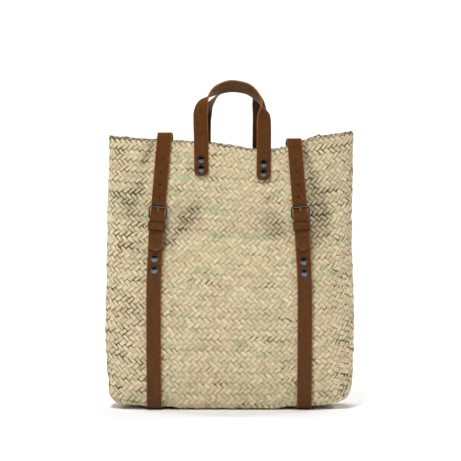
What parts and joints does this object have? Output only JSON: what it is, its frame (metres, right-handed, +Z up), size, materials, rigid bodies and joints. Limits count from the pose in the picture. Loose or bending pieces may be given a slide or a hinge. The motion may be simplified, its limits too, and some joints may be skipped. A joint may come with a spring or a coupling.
{
  "type": "woven straw backpack",
  "caption": "Soft woven straw bag, open at the top, with riveted leather carrying handles and buckled leather shoulder straps that run right round it.",
  "frame": {"origin": "on the floor, under the middle of the flat base", "axes": "+Z up, -Y out of the front face with the buckles, +X to the right as seen from the front"},
  "size_m": [0.3831, 0.1536, 0.505],
  "materials": {
    "straw": "dry plaited palm leaf, natural",
    "strap_leather": "smooth dark brown, satin",
    "handle_leather": "smooth dark brown, satin",
    "steel": "dull nickel wire",
    "rivet_steel": "pressed and polished"
  },
  "bodies": {
    "root": {"basket": "straw", "strap_left": "strap_leather", "strap_right": "strap_leather", "buckle_left": "steel", "buckle_right": "steel", "tongue_left": "steel", "tongue_right": "steel", "keeper_left": "strap_leather", "keeper_right": "strap_leather", "strap_rivet_left_1": "rivet_steel", "strap_rivet_left_2": "rivet_steel", "strap_rivet_right_1": "rivet_steel", "strap_rivet_right_2": "rivet_steel", "handle_front": "handle_leather", "handle_back": "handle_leather", "handle_rivet_front_1": "rivet_steel", "handle_rivet_front_2": "rivet_steel", "handle_rivet_front_3": "rivet_steel", "handle_rivet_front_4": "rivet_steel", "handle_rivet_back_1": "rivet_steel", "handle_rivet_back_2": "rivet_steel", "handle_rivet_back_3": "rivet_steel", "handle_rivet_back_4": "rivet_steel"}
  },
  "joints": []
}
